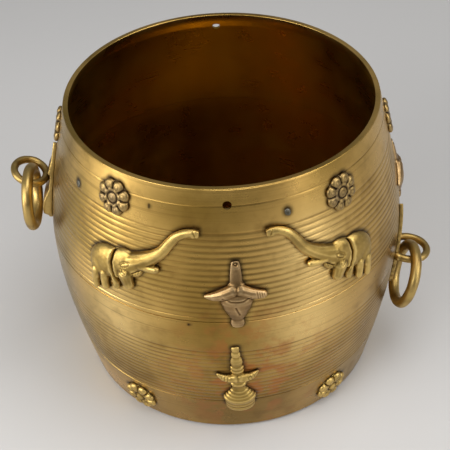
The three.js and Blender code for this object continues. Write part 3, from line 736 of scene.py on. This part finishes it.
def ring(handle):
    centre, axis, rearward, down = ring_hang(handle)
    if np.cross(rearward, down) @ axis < 0:
        axis = -axis
    points, faces = [], []
    for i in range(RING_SEGMENTS):
        a = 2 * math.pi * i / RING_SEGMENTS
        radial = rearward * math.cos(a) + down * math.sin(a)
        bar = RING_BAR_RADIUS - RING_WEAR * (1 + math.sin(3 * a + 1) * math.sin(7 * a))
        for j in range(RING_SIDES):
            b = 2 * math.pi * j / RING_SIDES
            out = handle["ring_radius"] + bar * math.cos(b)
            points.append(centre + radial * out + axis * bar * math.sin(b))
    for i in range(RING_SEGMENTS):
        here, after = i * RING_SIDES, (i + 1) % RING_SEGMENTS * RING_SIDES
        for j in range(RING_SIDES):
            k = (j + 1) % RING_SIDES
            faces.append((here + j, after + j, after + k, here + k))
    return np.array(points), faces


def handle_plate(handle):
    """A leaf with a rough edge, laid on the wall, and thickened by its ridge and lug where it has them."""
    share = np.linspace(0, len(LEAF) - 1, PLATE_EDGE_POINTS)
    across, up = zip(*LEAF)
    wide = np.interp(share, range(len(LEAF)), across) * PLATE_WIDTH
    tall = np.interp(share, range(len(LEAF)), up) * (handle["plate_length"] / 2)
    rough = handle["roughness"]
    right_bites = rough * (1 + np.sin(0.31 * tall + 1) * np.sin(0.9 * tall))
    left_bites = rough * (1 + np.sin(0.27 * tall) * np.sin(0.8 * tall + 2))
    right = list(zip(wide * (1 - right_bites), tall))
    left = list(zip(-wide * (1 - left_bites), tall))
    clay = bmesh.new()
    face = SEAT_GAP + PLATE_THICKNESS
    slab(clay, right + left[::-1], PLATE_BACK, face)
    points, faces = cast(clay, voxel=0.6, smoothing=8, keep_above=0.1)
    lift = np.interp(points[:, 1] + handle["plate_height"] - handle["height"], *zip(*handle["tongue"]))
    points[:, 2] *= np.maximum(lift, face) / face
    return on_wall(points, handle["azimuth"], handle["plate_height"]), faces


# Materials
class Shader:
    """A material's nodes, added and linked by short calls."""

    def __init__(self, name):
        self.material = bpy.data.materials.new(name)
        self.material.use_nodes = True
        self.nodes = self.material.node_tree.nodes
        self.links = self.material.node_tree.links
        self.surface = self.nodes["Principled BSDF"]
        self.place = self.nodes.new("ShaderNodeTexCoord").outputs["Object"]

    def set(self, socket, value):
        if isinstance(value, bpy.types.NodeSocket):
            self.links.new(value, socket)
        else:
            socket.default_value = value

    def attribute(self, name):
        node = self.nodes.new("ShaderNodeAttribute")
        node.attribute_name = name
        return node.outputs["Fac"]

    def noise(self, scale, detail, stretch=(1, 1, 1)):
        mapping = self.nodes.new("ShaderNodeMapping")
        mapping.inputs["Scale"].default_value = stretch
        self.links.new(self.place, mapping.inputs["Vector"])
        node = self.nodes.new("ShaderNodeTexNoise")
        self.links.new(mapping.outputs["Vector"], node.inputs["Vector"])
        node.inputs["Scale"].default_value = scale
        node.inputs["Detail"].default_value = detail
        node.inputs["Roughness"].default_value = NOISE_ROUGHNESS
        return node.outputs["Fac"]

    def span(self, value, low, high, new_low=0, new_high=1):
        """Takes low to high smoothly to new_low to new_high."""
        node = self.nodes.new("ShaderNodeMapRange")
        node.interpolation_type = "SMOOTHSTEP"
        self.set(node.inputs["Value"], value)
        ends = {"From Min": low, "From Max": high, "To Min": new_low, "To Max": new_high}
        for name, number in ends.items():
            node.inputs[name].default_value = number
        return node.outputs["Result"]

    def maths(self, kind, a, b):
        node = self.nodes.new("ShaderNodeMath")
        node.operation = kind
        self.set(node.inputs[0], a)
        self.set(node.inputs[1], b)
        return node.outputs[0]

    def part(self, value, low, high, amount):
        """How much of a colour shows: none below low in the noise, and this amount above high."""
        return self.maths("MULTIPLY", self.span(value, low, high), amount)

    def mix(self, share, a, b):
        node = self.nodes.new("ShaderNodeMix")
        node.data_type = "RGBA"
        self.set(node.inputs["Factor"], share)
        for socket, colour in ((node.inputs[6], a), (node.inputs[7], b)):
            self.set(socket, (*colour, 1) if isinstance(colour, tuple) else colour)
        return node.outputs[2]

    def finish(self, colour, roughness, metallic, height, strength, distance):
        self.set(self.surface.inputs["Base Color"], colour)
        self.set(self.surface.inputs["Roughness"], roughness)
        self.set(self.surface.inputs["Metallic"], metallic)
        bump = self.nodes.new("ShaderNodeBump")
        bump.inputs["Strength"].default_value = strength
        bump.inputs["Distance"].default_value = distance
        self.links.new(height, bump.inputs["Height"])
        self.links.new(bump.outputs["Normal"], self.surface.inputs["Normal"])
        return self.material


def body_brass():
    """Turned brass: cloudy gold, streaks round it and a stain; painted dark reflection in a tarnished-brown
    tone, painted grey shade on the flanks, painted highlights, painted shade in the reeds' grooves, darkening
    round the castings, pits, painted contact shade at the foot, and painted shade inside.
    """
    s = Shader("body_brass")
    clouds = s.noise(14, 6)
    patches = s.noise(45, 5)
    streaks = s.noise(1, 5, stretch=(7, 7, 620))
    colour = s.mix(s.span(clouds, 0.36, 0.66), GOLD, OLIVE)
    colour = s.mix(s.part(s.noise(5, 3, stretch=(1, 1, 0.4)), 0.42, 0.68, 0.5), colour, RUSTY)
    # Painted dark reflection in a tarnished-brown tone, painted grey shade on the flanks, and painted
    # highlights
    for name, shade in (("tarnish_and_dark_reflection", TARNISH_AND_DARK_REFLECTION_BROWN), ("flank_shade", FLANK_SHADE_GREY), ("painted_highlight", HIGHLIGHT_GOLD)):
        colour = s.mix(s.attribute(name), colour, shade)
    colour = s.mix(s.part(patches, 0.52, 0.74, 0.4), colour, BROWN)
    colour = s.mix(s.part(streaks, 0.52, 0.74, 0.35), colour, BROWN)
    # Painted shade in the reeds' grooves, patchy
    reeds = s.attribute("reed")
    reed_shade = s.maths("MULTIPLY", reeds, s.span(s.noise(30, 4), 0.3, 0.66, 0.2, 0.75))
    colour = s.mix(reed_shade, colour, BROWN)
    stain = s.maths("MULTIPLY", s.attribute("stain"), s.span(s.noise(70, 5), 0.46, 0.62))
    colour = s.mix(s.maths("MULTIPLY", stain, 0.75), colour, COPPER)
    # Darkening round the castings, small dark pits, and painted contact shade along the foot
    colour = s.mix(s.attribute("halos_pits_and_foot_shade"), colour, NEAR_BLACK)
    # Painted shade inside, in darker brass
    inside = s.attribute("inside")
    inner_shade = s.mix(s.span(s.noise(9, 3, stretch=(1, 1, 0.15)), 0.35, 0.65), INSIDE_SHADE, INSIDE_SHADE_WARM)
    colour = s.mix(inside, colour, inner_shade)
    rough = s.maths("ADD", s.span(patches, 0.3, 0.7, 0.25, 0.37), s.maths("MULTIPLY", reeds, 0.1))
    height = s.maths("ADD", s.maths("MULTIPLY", streaks, 0.6), s.maths("MULTIPLY", s.noise(260, 3), 0.4))
    return s.finish(colour, rough, 1.0, height, strength=0.25, distance=0.0004)


def cast_brass(name, dark, mid, bright, patch=None):
    """Cast or forged brass, with painted highlight on its high places, painted shade in its hollows and
    near-black painted shade at their deepest.
    """
    s = Shader(name)
    hollow = s.attribute("hollow")
    skin = s.noise(180, 5)
    # Painted highlight on the high places
    colour = s.mix(s.span(hollow, 0.5, 0.3), mid, bright)
    colour = s.mix(s.part(s.noise(60, 4), 0.46, 0.7, 0.5), colour, patch or dark)
    # Painted shade in the hollows, near black in the deepest
    colour = s.mix(s.span(hollow, 0.53, 0.72), colour, dark)
    colour = s.mix(s.span(hollow, 0.7, 0.95), colour, NEAR_BLACK)
    rough = s.maths("ADD", s.span(skin, 0.3, 0.7, 0.35, 0.47), s.span(hollow, 0.5, 0.8, 0, 0.2))
    return s.finish(colour, rough, 1.0, skin, strength=0.35, distance=0.0003)


def floor_material():
    s = Shader("pale_floor")
    s.set(s.surface.inputs["Base Color"], FLOOR_COLOUR)
    s.set(s.surface.inputs["Roughness"], FLOOR_ROUGHNESS)
    return s.material


# Pieces
def finish_piece(piece, body, slot, material, *nodes):
    piece.data.materials.append(material)
    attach(piece, body)
    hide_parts(*nodes)


body_finish = body_brass()
cast_finish = cast_brass("cast_brass", dark=(0.11, 0.06, 0.013), mid=(0.38, 0.25, 0.066),
                         bright=(0.68, 0.475, 0.155))
lamp_finish = cast_brass("lamp_brass", dark=(0.09, 0.05, 0.018), mid=(0.28, 0.17, 0.07),
                         bright=(0.6, 0.41, 0.2))
rosette_finish = cast_brass("rosette_brass", dark=(0.05, 0.03, 0.013), mid=(0.2, 0.13, 0.05),
                            bright=(0.4, 0.27, 0.1), patch=(0.13, 0.095, 0.065))
handle_finish = cast_brass("handle_brass", dark=(0.07, 0.04, 0.015), mid=(0.28, 0.175, 0.05),
                           bright=(0.52, 0.36, 0.12), patch=(0.15, 0.075, 0.025))
solder_finish = cast_brass("solder", dark=(0.03, 0.03, 0.025), mid=(0.09, 0.08, 0.055),
                           bright=(0.15, 0.14, 0.11))

shapes = {"worn_rosette": worn_rosette(), "lump_rosette": lump_rosette(), "elephant": elephant(),
          "upper_lamp": upper_lamp(), "lower_lamp": lower_lamp(), "plug": solder_head()}
ornament_points = []


def add_ornament(node, shape, azimuth, height, turn=0, mirrored=False, material=None, slot="cast_brass"):
    points, faces = shapes[shape]
    world = on_wall(points, azimuth, height, turn, mirrored)
    piece = make_object(f"{node}_casting", world, faces, mirrored)
    mark_hollows(piece, CAST_RELIEF)
    finish_piece(piece, "vessel", slot, material or cast_finish, node)
    ornament_points.append(world[points[:, 2] < FOOTING])


for face, centre in (("front", 0), ("back", 180)):
    for side in ("left", "right"):
        azimuth, drop = UPPER_ROSETTES[side]
        add_ornament(f"upper_rosette_{face}_{side}", "worn_rosette", centre + azimuth, HEIGHT - drop,
                     material=rosette_finish)
        azimuth, height = LOWER_ROSETTES[side]
        add_ornament(f"lower_rosette_{face}_{side}", "lump_rosette", centre + azimuth, height)
        azimuth, height, climb = ELEPHANTS[side]
        add_ornament(f"elephant_{face}_{side}", "elephant", centre + azimuth, height, climb, side == "right")
    azimuth, height = UPPER_LAMP
    add_ornament(f"upper_lamp_{face}", "upper_lamp", centre + azimuth, height, material=lamp_finish)
    azimuth, height = LOWER_LAMP
    add_ornament(f"lower_lamp_{face}", "lower_lamp", centre + azimuth, height, LOWER_LAMP_LEAN)
for side in ("left", "right"):
    azimuth, drop = SIDE_ROSETTES[side]
    add_ornament(f"upper_rosette_{side}", "worn_rosette", azimuth, HEIGHT - drop, material=rosette_finish)
    azimuth, drop = PLUGS[side]
    add_ornament(f"solder_plug_{side}", "plug", azimuth, HEIGHT - drop, material=solder_finish, slot="solder")
add_ornament("side_lamp_right", "upper_lamp", *SIDE_LAMP, material=lamp_finish)

for handle in HANDLES:
    side = handle["side"]
    for name, make, body in (("handle_eye", handle_eye, "vessel"), ("handle_plate", handle_plate, "vessel"),
                             ("ring", ring, f"{side}_ring")):
        points, faces = make(handle)
        piece = make_object(f"{name}_{side}_forged", points, faces)
        mark_hollows(piece, FORGED_RELIEF)
        finish_piece(piece, body, "handle_brass", handle_finish, f"{name}_{side}")
        if name == "handle_plate":
            ornament_points.append(points)
    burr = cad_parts[f"handle_burr_{side}"]
    burr.data.materials.clear()
    burr.data.materials.append(handle_finish)

# Body halves, with marks for the painted light and shade on them, their pits, stain and darkening round the
# castings
footprint = np.concatenate(ornament_points)


def unrolled(points):
    """Row and column of each point on a map of the body's surface."""
    azimuth = np.arctan2(points[:, 0], -points[:, 1]) % (2 * math.pi)
    return points[:, 2] / MAP_STEP, azimuth * BELLY_RADIUS / MAP_STEP


def casting_map():
    """Distance to the nearest casting, on a map of the body's surface."""
    columns = int(2 * math.pi * BELLY_RADIUS / MAP_STEP) + 1
    rows = int(HEIGHT / MAP_STEP) + 2
    away = np.full((rows, columns), MAP_REACH)
    row, column = unrolled(footprint)
    reach = int(MAP_REACH / MAP_STEP)
    for down in range(-reach, reach + 1):
        for across in range(-reach, reach + 1):
            r = np.clip(np.round(row).astype(int) + down, 0, rows - 1)
            c = np.round(column).astype(int) + across
            distance = MAP_STEP * np.hypot(r - row, c - column)
            np.minimum.at(away, (r, c % columns), distance)
    return away


def casting_distance(points, away):
    """The map's distance at each point, evened out between its cells."""
    row, column = unrolled(points)
    r, c = np.floor(row).astype(int).clip(0, away.shape[0] - 2), np.floor(column).astype(int)
    fr, fc = row - r, column - c
    c, d = c % away.shape[1], (c + 1) % away.shape[1]
    low = away[r, c] * (1 - fc) + away[r, d] * fc
    high = away[r + 1, c] * (1 - fc) + away[r + 1, d] * fc
    return low * (1 - fr) + high * fr


def soft_patches(azimuth, z, patches):
    """Soft patches on the body, added up; those of the front come back behind."""
    total = np.zeros_like(z)
    for strength, at_azimuth, at_z, wide, tall in patches:
        around = (azimuth - at_azimuth + 90) % 180 - 90
        total += strength * np.exp(-(around / wide) ** 2 - ((z - at_z) / tall) ** 2)
    return total


away_map = casting_map()
for shell, node in ((upper_shell(), "upper_body"), (lower_shell(), "lower_body")):
    if node == "upper_body":
        drill_rim_holes(shell)
    points = mesh_points(shell.data) / MM
    radius = np.hypot(points[:, 0], points[:, 1])
    azimuth = np.degrees(np.arctan2(points[:, 0], -points[:, 1]))
    z = points[:, 2]
    depth = body_radius(z) - radius
    # Mask of the inside, which takes painted shade
    inside = np.clip((depth - INSIDE_DEPTH) / INSIDE_FADE, 0, 1) * (z < HEIGHT - INSIDE_BELOW_EDGE)
    # Grooves of the reeding, which take painted shade; it fades in a few soft patches
    reed = np.clip(reeding(z) / REED_DEPTH, 0, 1) * (1 - soft_patches(azimuth, z, FADED_REED_PATCHES))
    beside_stain = np.hypot(points[:, 0] - STAIN_X, (z - STAIN_HEIGHT) * STAIN_SQUEEZE) / STAIN_REACH
    # Darkening round the castings, a little above them
    near = np.clip(1 - casting_distance(points - (0, 0, HALO_RISE), away_map) / HALO_REACH, 0, 1)
    # Painted contact shade along the foot's edge
    foot = np.clip((FOOT_SHADE_TOP - z) / FOOT_SHADE_FADE, 0, FOOT_SHADE_LIMIT)
    # Together with small dark pits, these make one mark
    halos_pits_and_foot_shade = np.clip(near ** HALO_FALL + soft_patches(azimuth, z, PITS) + foot, 0, 1) * (depth < OUTSIDE_DEPTH)
    mark(shell, "inside", inside)
    mark(shell, "reed", reed)
    # Painted dark reflection in a tarnished-brown tone, painted grey shade on the flanks, and painted
    # highlights
    mark(shell, "tarnish_and_dark_reflection", np.clip(soft_patches(azimuth, z, TARNISH_AND_DARK_REFLECTION_PATCHES), 0, TARNISH_AND_DARK_REFLECTION_LIMIT))
    mark(shell, "flank_shade", np.clip(soft_patches(azimuth, z, FLANK_SHADE_PATCHES), 0, 1))
    mark(shell, "painted_highlight", np.clip(soft_patches(azimuth, z, PAINTED_HIGHLIGHTS), 0, 1))
    mark(shell, "stain", np.clip(STAIN_STRENGTH - beside_stain, 0, 1) * (points[:, 1] < 0))
    mark(shell, "halos_pits_and_foot_shade", halos_pits_and_foot_shade)
    finish_piece(shell, "vessel", "body_brass", body_finish, node)

# Floor, camera and lights
bpy.ops.mesh.primitive_plane_add(size=FLOOR_SIZE)
floor = bpy.context.object
floor.name = "floor"
floor.data.materials.append(floor_material())

camera_data = bpy.data.cameras.new("camera")
camera_data.sensor_width = SENSOR_WIDTH
camera_data.lens = camera_data.sensor_width * FOCAL_PIXELS / IMAGE_PIXELS
camera = bpy.data.objects.new("camera", camera_data)
bpy.context.scene.collection.objects.link(camera)
pitch = Matrix.Rotation(math.radians(90 - CAMERA_PITCH), 4, "X")
roll = Matrix.Rotation(math.radians(CAMERA_ROLL), 4, "Z")
camera.matrix_world = Matrix.Translation(CAMERA_PLACE) @ (pitch @ roll)
bpy.context.scene.camera = camera

for name, place, target_height, size, power in LIGHTS:
    light = bpy.data.lights.new(name, "AREA")
    light.shape = "RECTANGLE"
    light.size, light.size_y = size
    light.energy = power
    holder = bpy.data.objects.new(name, light)
    bpy.context.scene.collection.objects.link(holder)
    aim = (Vector((0, 0, target_height)) - Vector(place)).to_track_quat("-Z", "Y").to_matrix().to_4x4()
    holder.matrix_world = Matrix.Translation(place) @ aim

world = bpy.data.worlds.new("studio")
bpy.context.scene.world = world
world.use_nodes = True
background = world.node_tree.nodes["Background"]
background.inputs["Color"].default_value = WORLD_COLOUR
background.inputs["Strength"].default_value = WORLD_STRENGTH
bpy.context.scene.view_settings.view_transform = "Standard"
